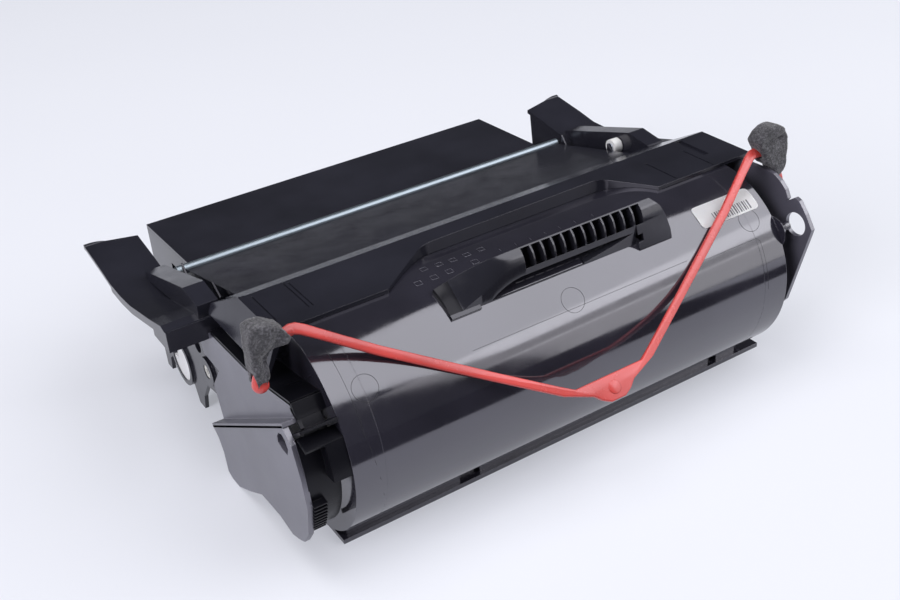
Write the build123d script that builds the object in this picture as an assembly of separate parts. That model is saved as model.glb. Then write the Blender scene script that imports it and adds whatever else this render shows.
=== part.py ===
from build123d import *
import math
import os

# Laser printer toner cartridge. Everything is drawn about the hopper's axis:
# X runs along the cartridge, +Y points to the waste box at the rear, +Z is up.
# The finished pieces are moved so that the origin is under the middle of the whole, at the surface it stands on.

# Driving dimensions, in millimetres
HOPPER_R = 54.0            # outer radius of the toner hopper
HOPPER_WALL = 2.5
HOPPER_HALF = 132.0        # hopper axis middle to the outer face of an end cap
CAP_BAND = 16.0            # length of the band that each end cap wraps over
CAP_PLATE = 4.0
AXIS_HEIGHT = 56.0         # hopper axis above the surface it stands on
REAR_Y = 221.5             # rear face of the waste box
RUN_FIT = 0.05             # radial clearance of a shaft in its bore
SEAT = 0.02                # clearance of pieces that are fixed together
ROLL_GAP = 0.3             # gap between rolling surfaces

# Drum and rollers
DRUM_R = 15.0
DRUM_WALL = 1.0
DRUM_HALF = 120.0
DRUM_Y = 96.0
DRUM_Z = -19.0
DEVELOPER_R = 9.0
DEVELOPER_HALF = 114.0
DEVELOPER_ANGLE = 10.0     # degrees above the line from the drum to the front
ADDER_R = 8.25
ADDER_HALF = 112.0
ADDER_ANGLE = 18.0
CHARGE_R = 6.0
CHARGE_HALF = 116.0
CHARGE_ANGLE = 100.0
AUGER_Y = 140.3
AUGER_Z = -35.5
AUGER_R = 9.0
AUGER_HALF = 118.0
AUGER_PITCH = 40.0
ROLLER_SHAFT_R = 4.0
SMALL_SHAFT_R = 3.0
TRUNNION_R = 4.0

# Gear train
MODULE = 1.35
PRESSURE = 25.0
ADDENDUM = 0.8
DEDENDUM = 1.0
BACKLASH = 0.16
DRUM_TEETH = 21
DEVELOPER_TEETH = 15
ADDER_TEETH = 11
AGITATOR_IDLER_TEETH = 19
AGITATOR_TEETH = 36
AUGER_IDLER_TEETH = 18
AUGER_TEETH = 18
GEAR_GAP = 0.8             # end cap face to the gear plane
GEAR_FACE = 4.4

# Drum unit
PLATE_IN = 137.8           # inner face of a side frame
PLATE_T = 2.2
BAR_OUT = 149.0            # outer face of the raised side bar
ARM_OUT = 167.2            # outer edge of a guide arm
ARM_T = 2.2
DECK_HALF = 127.5
DECK_T = 2.4
DECK_STEP = 8.0            # depth of the channel at each side of the deck
BOX_HALF = 121.8
BOX_FRONT_Y = 149.0
BOX_FLOOR_Z = -20.0
BOX_TOP_FRONT_Z = 15.2
BOX_TOP_REAR_Z = 12.4
BOX_WALL = 2.0
ROD_R = 2.0
ROD_HALF = 131.5

# Covers
COVER_TOP_Z = 56.0
COVER_T = 2.0
COVER_FRONT_Y = -4.5
COVER_FLAT_END_Y = 33.0
RIM_Y = 61.7
RIM_Z = 41.2
COVER_LEFT = -135.0
COVER_RIGHT = 150.0
FIN_X = -153.0             # outer face of the left cover's lower fin
PANEL_X = -146.5           # outer face of the left cover's upper panel
COVER_WALL = 2.2
EAR_X = 143.6              # inner face of the right side cover
EAR_T = 2.4

# Transport lock
LOCK_ANGLE = 38.5          # tilt of the lock's plane, from the front towards up
LOCK_T = 2.6
LOCK_HALF = 136.0
LOCK_TOP = 38.0            # end of a leg, measured up the plane
LOCK_APEX = -44.0
LOCK_WIDTH = 8.4
FOAM_T = 4.5


def rad(angle):
    return math.radians(angle)


def slab(profile, x0, x1):
    """Extrude a profile drawn in the Y-Z plane from x0 to x1."""
    return extrude(Plane.YZ.offset(min(x0, x1)) * profile, amount=abs(x1 - x0))


def poly(*points):
    """Polygon whose normal always follows its plane, whichever way round its points are given."""
    area = sum(a[0] * b[1] - b[0] * a[1] for a, b in zip(points, points[1:] + points[:1]))
    return Polygon(*(points if area > 0 else points[::-1]), align=None)


def disc(centre, radius):
    return Pos(centre[0], centre[1]) * Circle(radius)


def rod(centre, radius, x0, x1):
    return slab(disc(centre, radius), x0, x1)


def block(x0, x1, y0, y1, z0, z1):
    return Pos((x0 + x1) / 2, (y0 + y1) / 2, (z0 + z1) / 2) * Box(abs(x1 - x0), abs(y1 - y0), abs(z1 - z0))


def strip(points, thickness):
    """Outline of a bent sheet: an open line thickened evenly to both sides, with mitred bends."""
    left = []
    right = []
    for i, point in enumerate(points):
        directions = []
        if i > 0:
            directions.append(unit(points[i - 1], point))
        if i < len(points) - 1:
            directions.append(unit(point, points[i + 1]))
        normals = [(-d[1], d[0]) for d in directions]
        nx = sum(n[0] for n in normals) / len(normals)
        ny = sum(n[1] for n in normals) / len(normals)
        scale = thickness / 2 / (nx * nx + ny * ny)
        left.append((point[0] + nx * scale, point[1] + ny * scale))
        right.append((point[0] - nx * scale, point[1] - ny * scale))
    return poly(*(left + right[::-1]))


def unit(a, b):
    length = math.hypot(b[0] - a[0], b[1] - a[1])
    return ((b[0] - a[0]) / length, (b[1] - a[1]) / length)


def polar(centre, radius, angle):
    return (centre[0] + radius * math.cos(rad(angle)), centre[1] + radius * math.sin(rad(angle)))


def pitch_r(teeth):
    return MODULE * teeth / 2


def tip_r(teeth):
    return pitch_r(teeth) + ADDENDUM * MODULE


def mesh_point(a, teeth_a, b, teeth_b, teeth, side):
    """Centre of an idler that meshes with the gears at a and b."""
    ra = pitch_r(teeth_a) + pitch_r(teeth)
    rb = pitch_r(teeth_b) + pitch_r(teeth)
    span = math.hypot(b[0] - a[0], b[1] - a[1])
    along = (ra * ra - rb * rb + span * span) / (2 * span)
    across = side * math.sqrt(ra * ra - along * along)
    ux, uy = unit(a, b)
    return (a[0] + ux * along - uy * across, a[1] + uy * along + ux * across)


def meshed_phase(a, teeth_a, phase_a, b, teeth_b):
    """Angle of a tooth of gear b, in degrees, that puts b in mesh with gear a."""
    toward = math.degrees(math.atan2(b[1] - a[1], b[0] - a[0]))
    return toward + 180.0 - 180.0 / teeth_b - teeth_a / teeth_b * (phase_a - toward)


def gear_outline(teeth, phase):
    """Spur gear outline whose flanks are chords of the involute, so meshed teeth never cut in."""
    pitch = pitch_r(teeth)
    base = pitch * math.cos(rad(PRESSURE))
    root = pitch - DEDENDUM * MODULE
    tip = tip_r(teeth)
    half = 90.0 / teeth - math.degrees(BACKLASH / 2 / pitch)

    def flank(radius):
        turn = math.acos(base / radius) if radius > base else 0.0
        return half + math.degrees(math.tan(rad(PRESSURE)) - rad(PRESSURE) - math.tan(turn) + turn)

    points = []
    for tooth in range(teeth):
        middle = phase + 360.0 * tooth / teeth
        points.append(polar((0, 0), root, middle - flank(root)))
        points.append(polar((0, 0), tip, middle - flank(tip)))
        points.append(polar((0, 0), tip, middle + flank(tip)))
        points.append(polar((0, 0), root, middle + flank(root)))
    return poly(*points)


def gear(centre, teeth, phase, bore):
    outline = gear_outline(teeth, phase) - Circle(bore)
    return slab(Pos(centre[0], centre[1]) * outline, GEAR_OUT, GEAR_IN)


# Places that follow from the driving dimensions
BAND_X = HOPPER_HALF - CAP_BAND
GEAR_IN = -HOPPER_HALF - GEAR_GAP
GEAR_OUT = GEAR_IN - GEAR_FACE
AXIS = (0.0, 0.0)
DRUM = (DRUM_Y, DRUM_Z)
AUGER = (AUGER_Y, AUGER_Z)
DEVELOPER = polar(DRUM, pitch_r(DRUM_TEETH) + pitch_r(DEVELOPER_TEETH), 180.0 - DEVELOPER_ANGLE)
ADDER = polar(DEVELOPER, pitch_r(DEVELOPER_TEETH) + pitch_r(ADDER_TEETH), 180.0 - ADDER_ANGLE)
CHARGE = polar(DRUM, DRUM_R + CHARGE_R + ROLL_GAP, CHARGE_ANGLE)
AGITATOR_IDLER = mesh_point(AXIS, AGITATOR_TEETH, ADDER, ADDER_TEETH, AGITATOR_IDLER_TEETH, 1)
AUGER_IDLER = mesh_point(DRUM, DRUM_TEETH, AUGER, AUGER_TEETH, AUGER_IDLER_TEETH, 1)
DEVELOPER_PHASE = meshed_phase(DRUM, DRUM_TEETH, 0.0, DEVELOPER, DEVELOPER_TEETH)
ADDER_PHASE = meshed_phase(DEVELOPER, DEVELOPER_TEETH, DEVELOPER_PHASE, ADDER, ADDER_TEETH)
AGITATOR_IDLER_PHASE = meshed_phase(ADDER, ADDER_TEETH, ADDER_PHASE, AGITATOR_IDLER, AGITATOR_IDLER_TEETH)
AGITATOR_PHASE = meshed_phase(AGITATOR_IDLER, AGITATOR_IDLER_TEETH, AGITATOR_IDLER_PHASE, AXIS, AGITATOR_TEETH)
AUGER_IDLER_PHASE = meshed_phase(DRUM, DRUM_TEETH, 0.0, AUGER_IDLER, AUGER_IDLER_TEETH)
AUGER_PHASE = meshed_phase(AUGER_IDLER, AUGER_IDLER_TEETH, AUGER_IDLER_PHASE, AUGER, AUGER_TEETH)

# The throat behind the hopper holds the adder and developer rollers
THROAT_REAR_Y = DRUM_Y - DRUM_R - 2.8
THROAT_OUTER = [(20, -45), (52, -36), (THROAT_REAR_Y, -30.3), (THROAT_REAR_Y, 3.6), (57, 16.5), (20, 36)]
THROAT_LIP_LOW_Z = -27.5
THROAT_LIP_HIGH_Z = 1.0


def throat_cavity(rear_y):
    return poly((35, -25), (52, -33), (rear_y, THROAT_LIP_LOW_Z), (rear_y, THROAT_LIP_HIGH_Z), (56, 13.5), (40, 13.5))


def hopper_outline():
    return Circle(HOPPER_R) + poly(*THROAT_OUTER)


# Rail that the cartridge stands on
RAIL_LEFT = -130.0
RAIL_RIGHT = 142.0
RAIL_FRONT_Y = -28.0
RAIL_REAR_Y = 14.0
RAIL_T = 2.6
RAIL_NOTCHES = ((-62.0, -50.0), (106.0, 112.0))


def skid_rail():
    """Rail under the front of the hopper that the cartridge stands on, with a stepped upper lip."""
    floor = -AXIS_HEIGHT
    plate = block(RAIL_LEFT, RAIL_RIGHT, RAIL_FRONT_Y, RAIL_REAR_Y, floor, floor + RAIL_T)
    y0 = RAIL_FRONT_Y + 2.5
    lip = slab(poly((y0, floor + RAIL_T), (-8, floor + RAIL_T), (-8, floor + 5), (y0, floor + 6.2)),
               RAIL_LEFT + 3, BAND_X + 10)
    for x0, x1 in RAIL_NOTCHES:
        lip -= block(x0, x1, RAIL_FRONT_Y, y0 + 3, floor + RAIL_T, floor + 8)
    foot = block(-BAND_X, BAND_X, 2, RAIL_REAR_Y, floor + RAIL_T, -50)
    rail = plate + lip + foot
    rail -= rod(AXIS, HOPPER_R + SEAT, -HOPPER_HALF, -BAND_X)
    rail -= rod(AXIS, HOPPER_R + SEAT, BAND_X, HOPPER_HALF)
    rail -= rod(AXIS, HOPPER_R - 1.0, -BAND_X, BAND_X)
    return rail


def hopper_housing():
    cavity = Circle(HOPPER_R - HOPPER_WALL) + throat_cavity(THROAT_REAR_Y + 1)
    return slab(hopper_outline() - cavity, -BAND_X, BAND_X) + skid_rail()


def hopper_cap(side):
    inner = BAND_X
    plate_in = HOPPER_HALF - CAP_PLATE
    cap = slab(hopper_outline(), side * inner, side * HOPPER_HALF)
    cavity = Circle(HOPPER_R - HOPPER_WALL) + throat_cavity(THROAT_REAR_Y - HOPPER_WALL)
    cap -= slab(cavity, side * (inner - 1), side * plate_in)
    for centre in (AXIS, DEVELOPER, ADDER):
        cap -= rod(centre, ROLLER_SHAFT_R + RUN_FIT, side * (inner - 1), side * (HOPPER_HALF + 1))
    return cap


def hopper_cap_left():
    pin = rod(AGITATOR_IDLER, SMALL_SHAFT_R, -HOPPER_HALF, GEAR_OUT)
    return hopper_cap(-1) + pin


FILL_Y = -6.0
FILL_Z = 26.0
FILL_R = 13.0
BOSS_Y = -41.0
BOSS_Z = 28.0
BOSS_R = 9.0
BOSS_TIP_R = 2.6
BOSS_LENGTH = 11.0


def hopper_cap_right():
    cap = hopper_cap(1) - rod((FILL_Y, FILL_Z), FILL_R, HOPPER_HALF - CAP_PLATE - 1, HOPPER_HALF + 1)
    cone_plane = Plane(origin=(HOPPER_HALF, BOSS_Y, BOSS_Z), x_dir=(0, 1, 0), z_dir=(1, 0, 0))
    cone = cone_plane * Cone(BOSS_R, BOSS_TIP_R, BOSS_LENGTH * 0.7, align=(Align.CENTER, Align.CENTER, Align.MIN))
    pin = rod((BOSS_Y, BOSS_Z), BOSS_TIP_R, HOPPER_HALF, HOPPER_HALF + BOSS_LENGTH)
    return cap + cone + pin


def fill_plug():
    head = rod((FILL_Y, FILL_Z), FILL_R + 3, HOPPER_HALF, HOPPER_HALF + 2)
    body = rod((FILL_Y, FILL_Z), FILL_R - SEAT, HOPPER_HALF - CAP_PLATE - 2, HOPPER_HALF)
    dish = rod((FILL_Y, FILL_Z), FILL_R - 3, HOPPER_HALF - CAP_PLATE, HOPPER_HALF + 3)
    return head + body - dish


# Carry handle
HANDLE_LEFT = -62.0
HANDLE_RIGHT = 66.0
HANDLE_FRONT_Y = -29.5
HANDLE_REAR_Y = -10.0
HANDLE_TOP_Z = 56.5
HANDLE_UNDER_Z = 51.4
SLOT_COUNT = 12
SLOT_START = -17.0
SLOT_END = 50.0
SLOT_RIB = 1.2
SLOT_DEPTH = 3.0
SLOT_RIM = 2.0
BASE_RISE = 1.6             # height of the lip in front of the finger gap


def carry_handle():
    """Grip bar moulded over a finger gap, on a base that follows the hopper."""
    side = poly((HANDLE_LEFT, 30), (HANDLE_LEFT, 45.5), (-50, 48.4), (-31, HANDLE_TOP_Z - 1.4),
                (-24, HANDLE_TOP_Z), (HANDLE_RIGHT - 3, HANDLE_TOP_Z), (HANDLE_RIGHT, HANDLE_TOP_Z - 3),
                (HANDLE_RIGHT, 30))
    gap = poly((-40, 30), (-40, 46.4), (-37, 47.6), (-30, 50.0), (-20, HANDLE_UNDER_Z), (20, HANDLE_UNDER_Z),
               (33, 50.8), (27, 48.6), (14, 46.4), (14, 30))
    depth = HANDLE_REAR_Y - HANDLE_FRONT_Y
    grip = extrude(Plane.XZ.offset(-HANDLE_REAR_Y) * (side - gap), amount=depth)
    lip_y = HANDLE_FRONT_Y + 1.6
    base = block(-42, 16, HANDLE_FRONT_Y, lip_y, 30, math.sqrt(HOPPER_R ** 2 - HANDLE_FRONT_Y ** 2) + BASE_RISE)
    handle = grip + base
    handle -= rod(AXIS, HOPPER_R + SEAT, HANDLE_LEFT - 1, HANDLE_RIGHT + 1)
    pitch = (SLOT_END - SLOT_START) / SLOT_COUNT
    for i in range(SLOT_COUNT):
        x0 = SLOT_START + i * pitch
        handle -= block(x0, x0 + pitch - SLOT_RIB, HANDLE_FRONT_Y + SLOT_RIM, HANDLE_REAR_Y - SLOT_RIM,
                        HANDLE_TOP_Z - SLOT_DEPTH, HANDLE_TOP_Z + 1)
    handle -= block(46.4, 49.6, HANDLE_FRONT_Y - 1, HANDLE_FRONT_Y + 1.2, 46.6, 50.0)
    return handle


# Top cover
RECESS_CORNERS = ((-45.5, 21.8), (66.4, 23.0))
RECESS_MOUTH = (-89.8, 89.4)    # where its sides reach the line RECESS_MOUTH_Y
RECESS_MOUTH_Y = -12.0
RECESS_R = (20.0, 10.0)
RECESS_WALL = 2.0
SHOULDER_OUT = 145.0
SHOULDER_Z = 36.0


def recess_face(grow):
    (x0, y0), (x1, y1) = RECESS_CORNERS
    face = poly((RECESS_MOUTH[0] - grow, RECESS_MOUTH_Y), (x0 - grow, y0 + grow), (x1 + grow, y1 + grow),
                (RECESS_MOUTH[1] + grow, RECESS_MOUTH_Y))
    for x, radius in ((x0 - grow, RECESS_R[0]), (x1 + grow, RECESS_R[1])):
        corner = face.vertices().sort_by_distance((x, (y0 + y1) / 2 + grow, 0))[0]
        face = fillet(corner, radius + grow)
    return face


def cover_section():
    drop = COVER_T
    return poly((COVER_FRONT_Y, COVER_TOP_Z), (COVER_FLAT_END_Y, COVER_TOP_Z), (RIM_Y, RIM_Z), (RIM_Y, RIM_Z - 2.6),
                (RIM_Y - 1.6, RIM_Z - 2.6), (RIM_Y - 1.6, RIM_Z - 1.6), (COVER_FLAT_END_Y - 0.7, COVER_TOP_Z - drop),
                (COVER_FRONT_Y, COVER_TOP_Z - drop))


def top_cover():
    """Flat cover with a sloped rear band, a bevelled left shoulder and a recess round the handle."""
    cover = slab(cover_section(), COVER_LEFT, COVER_RIGHT)
    shoulder = poly((COVER_LEFT, COVER_TOP_Z), (COVER_LEFT - 2.6, COVER_TOP_Z - 2.0), (-SHOULDER_OUT, SHOULDER_Z),
                    (-SHOULDER_OUT + COVER_T, SHOULDER_Z), (COVER_LEFT, COVER_TOP_Z - 5))
    side = extrude(Plane.XZ.offset(-RIM_Y) * shoulder, amount=RIM_Y - COVER_FRONT_Y)
    end = block(COVER_RIGHT - COVER_T, COVER_RIGHT, COVER_FRONT_Y, RIM_Y, SHOULDER_Z, COVER_TOP_Z)
    below = slab(poly((COVER_FRONT_Y, 30), (COVER_FRONT_Y, COVER_TOP_Z), (COVER_FLAT_END_Y, COVER_TOP_Z),
                      (RIM_Y, RIM_Z), (RIM_Y, 30)), -SHOULDER_OUT - 1, COVER_RIGHT + 1)
    cover += (side + end) & below
    corner = poly((COVER_RIGHT + 1, COVER_FLAT_END_Y + 2), (COVER_RIGHT + 1, RIM_Y + 1), (137, RIM_Y + 1))
    cover -= extrude(Plane.XY.offset(30) * corner, amount=30)
    opening = recess_face(0)
    wall = extrude(Plane.XY.offset(45) * (recess_face(RECESS_WALL) - opening), amount=COVER_TOP_Z - COVER_T - 45)
    wall &= block(RECESS_MOUTH[0] - 3, RECESS_MOUTH[1] + 3, COVER_FRONT_Y, 30, 45, COVER_TOP_Z)
    wall -= rod(AXIS, HOPPER_R + SEAT, RECESS_MOUTH[0] - 5, RECESS_MOUTH[1] + 5)
    cover += wall
    cover -= extrude(Plane.XY.offset(COVER_TOP_Z - 10) * opening, amount=12)
    groove = 0.5
    for x, y0, y1 in ((-116.2, 5, 32), (-114.0, 5, 31), (-133.2, 4, 30), (97.8, -3, 21), (124.0, -3, 21)):
        cover -= block(x - 0.35, x + 0.35, y0, y1, COVER_TOP_Z - groove, COVER_TOP_Z + 1)
    cover -= block(128.6, 132.4, 9, 31.5, COVER_TOP_Z - 1.2, COVER_TOP_Z + 1)
    return cover


# Drum unit frame. The blade, its bracket and their shelf are parallel layers along one line
BLADE_ANGLE = 16.0
BLADE_TOUCH_ANGLE = 60.0
BLADE_T = 1.6
BRACKET_T = 1.5
REAR_WALL_Y = BOX_FRONT_Y - DECK_T / 2
DECK_FRONT = (RIM_Y + 0.8, RIM_Z - 2.6)
DECK_REAR = (143.4, 18.4)


def along_blade(distance, offset):
    tip = polar(DRUM, DRUM_R + ROLL_GAP + BLADE_T, BLADE_TOUCH_ANGLE)
    point = polar(tip, distance, BLADE_ANGLE)
    return polar(point, offset, BLADE_ANGLE + 90)


def deck_z(y):
    share = (y - DECK_FRONT[0]) / (DECK_REAR[0] - DECK_FRONT[0])
    return DECK_FRONT[1] + share * (DECK_REAR[1] - DECK_FRONT[1])


def deck_profile(drop):
    top = [DECK_FRONT, DECK_REAR]
    low = [(DECK_REAR[0], DECK_REAR[1] - DECK_T), (DECK_FRONT[0], DECK_FRONT[1] - DECK_T)]
    return poly(*[(y, z - drop) for y, z in top + low])


def frame_end_profile():
    outline = poly((68, 34.0), (138, 16.5), (147, 12), (147, -22), (153.6, -30), (153.6, -47), (AUGER_Y, AUGER_Z - 13.4),
                   (131, -47), (116, -33), (96, -36), (84, -30), (84, 8), (68, 16))
    return outline - disc(DRUM, 9.0) - disc(CHARGE, SMALL_SHAFT_R + RUN_FIT) - disc(AUGER, SMALL_SHAFT_R + RUN_FIT)


ROLLER_X = (131.7, 137.4)
ROLLER_Y = 91.5
ROLLER_Z = 32.0
ROLLER_R = 4.6
ROLLER_PIN_R = 1.6
ROD_SEAT_Z = 13.4
FINS = ((84.0, 29.0, 92.5, 34.4), (131.5, 17.8, 138.0, 25.4))   # front and rear top corners, in the side channels
FIN_AT = 129.6


def drum_frame():
    """Sloping deck, rear wall, blade shelf and auger trough, closed by an end wall at each side."""
    wall = AUGER_R + 2.0
    trough = disc(AUGER, wall + DECK_T) - disc(AUGER, wall)
    trough = trough & poly((120, AUGER_Z), (170, AUGER_Z), (170, -60), (120, -60))
    mid = wall + DECK_T / 2
    rear = strip([(REAR_WALL_Y, ROD_SEAT_Z), (REAR_WALL_Y, -22), (AUGER_Y + mid, -30), (AUGER_Y + mid, AUGER_Z)], DECK_T)
    front = strip([(AUGER_Y - mid, AUGER_Z), (AUGER_Y - mid, -34), (114, -28)], DECK_T)
    shelf_offset = BLADE_T / 2 + BRACKET_T + DECK_T / 2
    shelf = strip([along_blade(14, shelf_offset), along_blade(45, shelf_offset)], DECK_T)
    seat = poly((138, deck_z(138)), DECK_REAR, (DECK_REAR[0], ROD_SEAT_Z), (BOX_FRONT_Y, ROD_SEAT_Z),
                (BOX_FRONT_Y, ROD_SEAT_Z - DECK_T), (138, ROD_SEAT_Z - DECK_T))
    section = trough + rear + front + shelf + seat + deck_profile(0)
    frame = slab(section, -AUGER_HALF - 6, AUGER_HALF + 6)
    for side in (-1, 1):
        inner = side * (AUGER_HALF + 4)
        frame += slab(frame_end_profile(), inner, inner + side * 3)
        frame += slab(deck_profile(0), inner, side * DECK_HALF)
        web = poly(DECK_FRONT, DECK_REAR, (DECK_REAR[0], DECK_REAR[1] - DECK_STEP - DECK_T),
                   (DECK_FRONT[0], DECK_FRONT[1] - DECK_STEP - DECK_T))
        frame += slab(web, side * (DECK_HALF - DECK_T), side * DECK_HALF)
        frame += slab(deck_profile(DECK_STEP), side * (DECK_HALF - DECK_T), side * PLATE_IN)
        for y0, z0, y1, z1 in FINS:
            fin = poly((y0, z0), (y1, z1), (y1, deck_z(y1) - DECK_STEP - 1), (y0, deck_z(y0) - DECK_STEP - 1))
            frame += slab(fin, side * FIN_AT, side * (FIN_AT + 1.0))
    return frame


def cleaning_blade():
    return slab(strip([along_blade(0, 0), along_blade(20, 0)], BLADE_T), -AUGER_HALF, AUGER_HALF)


def blade_bracket():
    offset = (BLADE_T + BRACKET_T) / 2
    return slab(strip([along_blade(7, offset), along_blade(34, offset)], BRACKET_T), -AUGER_HALF, AUGER_HALF)


NOTCH_Y = 186.0
NOTCH_Z = 1.5
NOTCH_X = -108.0


def box_top(y):
    share = (y - BOX_FRONT_Y) / (REAR_Y - BOX_FRONT_Y)
    return BOX_TOP_FRONT_Z + share * (BOX_TOP_REAR_Z - BOX_TOP_FRONT_Z)


def waste_box():
    """Open-topped waste toner box with a notch in its lower left front."""
    y0, y1, z0 = BOX_FRONT_Y, REAR_Y, BOX_FLOOR_Z
    outer = poly((y0, z0), (y1, z0), (y1, box_top(y1) - BOX_WALL), (y0, box_top(y0) - BOX_WALL))
    box = slab(outer, -BOX_HALF, BOX_HALF)
    w = BOX_WALL
    in_x = BOX_HALF - w
    cavity = block(-in_x, in_x, y0 + w, y1 - w, NOTCH_Z + w, 30)
    cavity += block(NOTCH_X + w, in_x, y0 + w, y1 - w, z0 + w, NOTCH_Z + w)
    cavity += block(-in_x, in_x, NOTCH_Y + w, y1 - w, z0 + w, NOTCH_Z + w)
    notch = block(-BOX_HALF - 1, NOTCH_X, y0 - 1, NOTCH_Y, z0 - 1, NOTCH_Z)
    return box - cavity - notch


def waste_box_lid():
    y0, y1 = BOX_FRONT_Y, REAR_Y
    plate = poly((y0, box_top(y0) - BOX_WALL), (y0, box_top(y0)), (y1, box_top(y1)), (y1, box_top(y1) - BOX_WALL))
    return slab(plate, -BOX_HALF, BOX_HALF)


def tie_rod():
    return rod((DECK_REAR[0] + ROD_R, ROD_SEAT_Z + ROD_R), ROD_R, -ROD_HALF, ROD_HALF)


# Side frames
RING_R = 15.0
COUPLER_R = 12.0
RING_OUT = 141.4
HUB_RING_R = 8.5
# Upper surface of a guide arm, front to rear
ARM_TOP = [(64.4, 31.8), (70, 33.5), (86, 29.1), (102.4, 25.2), (119.5, 21.2), (135.8, 19.5), (151.7, 19.7),
           (166.4, 22.5), (191.4, 26.3)]
ARM_SKEW = 5.7             # how much shorter the arm is at the side plate than at its outer edge


def plate_profile():
    floor = -AXIS_HEIGHT
    outline = poly((70, 36), (145, 18.6), (152, 18.6), (166.4, 21.2), (183, 24.0), (181, 2), (175, -12),
                   (173.5, floor), (166.5, floor), (165, -47), (156, -40), (AUGER_Y, -30), (128, -46), (124.5, floor),
                   (117, floor), (114, -46), (104, -33), (84, -30), (70, -20))
    outline = outline + disc(AUGER, RING_R) + disc(DRUM, HUB_RING_R + 2)
    outline -= poly((160, -31), (170, -18), (169, -44), (166.5, -44))
    outline -= disc((108, -8), 5.0)
    return outline


def side_frame(side):
    """Side plate with legs, bearing rings and the curved guide arm that runs past it."""
    inner = side * PLATE_IN
    outer = side * (PLATE_IN + PLATE_T)
    frame = slab(plate_profile(), inner, outer)
    frame += rod(AUGER, RING_R, outer, side * RING_OUT)
    frame += rod(DRUM, HUB_RING_R, outer, side * RING_OUT)
    bar = poly((65, 40), (82, 42.7), (145, 24), (145, 19), (66, 30))
    frame += slab(bar, inner, side * BAR_OUT)
    path = [(y, z - ARM_T / 2) for y, z in ARM_TOP]
    frame += slab(strip(path, ARM_T), inner, side * ARM_OUT)
    bead = [(y, z - 1.6) for y, z in path[:7]]
    frame += slab(strip(bead, ARM_T + 2), side * (ARM_OUT - 1.6), side * ARM_OUT)
    nose = poly((63.5, 32.6), (84, 28.6), (84, 21), (63.5, 21))
    frame += slab(nose, outer, side * ARM_OUT)
    tip_y, tip_z = path[-1]
    frame += rod((tip_y, tip_z), 1.7, outer, side * ARM_OUT)
    skew = poly((inner, tip_y - ARM_SKEW), (side * ARM_OUT, tip_y + 1.4), (side * ARM_OUT, tip_y + 9), (inner, tip_y + 9))
    return frame - extrude(Plane.XY.offset(tip_z - 12) * skew, amount=24)


def side_frame_left():
    frame = side_frame(-1)
    frame -= rod(AUGER, COUPLER_R + RUN_FIT, -PLATE_IN + 1, -RING_OUT - 1)
    frame -= rod(DRUM, TRUNNION_R + RUN_FIT, -PLATE_IN + 1, -RING_OUT - 1)
    return frame + rod(AUGER_IDLER, SMALL_SHAFT_R, -PLATE_IN, GEAR_IN)


def side_frame_right():
    frame = side_frame(1)
    frame -= rod(DRUM, TRUNNION_R + RUN_FIT, PLATE_IN - 1, RING_OUT + 1)
    return frame


def roller_pin():
    head_in = ROLLER_X[0] - 0.7
    head = rod((ROLLER_Y, ROLLER_Z), ROLLER_PIN_R + 1.0, head_in, ROLLER_X[0] - 0.2)
    return head + rod((ROLLER_Y, ROLLER_Z), ROLLER_PIN_R, head_in, PLATE_IN)


def guide_roller():
    return slab(disc((ROLLER_Y, ROLLER_Z), ROLLER_R) - disc((ROLLER_Y, ROLLER_Z), ROLLER_PIN_R + RUN_FIT), *ROLLER_X)


# Left side cover
FIN_OUTLINE = [(66, -31), (60, -35.5), (56.5, -42.4), (55, -54), (50, -56), (41.8, -55.6), (26.6, -48.3), (9.2, -38.6),
               (-11, -37.5), (-24, -41), (-33.5, -38), (-38.5, -36), (-44.7, -26.8), (-47.6, -8.2), (-45.6, 6.3), (-40.5, 22),
               (-33, 28.5)]
PANEL_OUTLINE = [(66, -31), (61, -13), (58.7, 3.7), (51.4, 24.1), (17.6, 27.9), (-9.4, 31.7), (-30.5, 35.8), (-34.5, 29.6)]
FOLD = [(66, -31), (-34, 29.2)]
ROOF = [(58.7, 3.7), (51.4, 23.0), (17.6, 26.8), (-9.4, 30.6), (-30.5, 34.6)]
FRONT_WALL_R = 46.5
RIB_ANGLES = (144.0, 166.0, 196.0, 214.0)


def side_cover_left():
    """Cover over the gear train: a lower fin that stands out, an upper panel set in, and a front wall."""
    w = COVER_WALL
    cover = slab(poly(*FIN_OUTLINE), FIN_X, FIN_X + w)
    cover += slab(poly(*PANEL_OUTLINE), PANEL_X, PANEL_X + w)
    cover += slab(strip(FOLD, w), FIN_X, PANEL_X + w)
    cover -= slab(poly((-28.6, 22.4), (-31.2, 22.0), (-34.6, 13.2), (-32.2, 12.6)), FIN_X - 1, FIN_X + w + 1)
    cover += slab(strip(ROOF, w), PANEL_X, -HOPPER_HALF)
    wall = Circle(FRONT_WALL_R) - Circle(FRONT_WALL_R - w)
    front = wall & poly((0, 0), (-44, 56), (-70, -20), (-50, -50))
    cover += slab(front, FIN_X + w, -HOPPER_HALF)
    for angle in RIB_ANGLES:
        rib = strip([polar(AXIS, FRONT_WALL_R - 1.5, angle), polar(AXIS, HOPPER_R - 1.2, angle)], 1.4)
        cover += slab(rib, FIN_X + w + 3, -HOPPER_HALF)
    return cover


EAR_OUTLINE = [(-57, 31), (-56, 27), (-44, -17), (-30, -34), (0, -40), (30, -38), (60, -24), (62.5, 20), (57, 36), (34, 52),
               (-22, 54), (-28, 53.4), (-33, 51), (-37, 47.5), (-39.4, 43), (-38, 41), (-44, 45.3), (-47, 44.4),
               (-52, 38.5)]
EAR_HOLE = (-46.0, 30.5)
EAR_HOLE_R = 6.6


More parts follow.
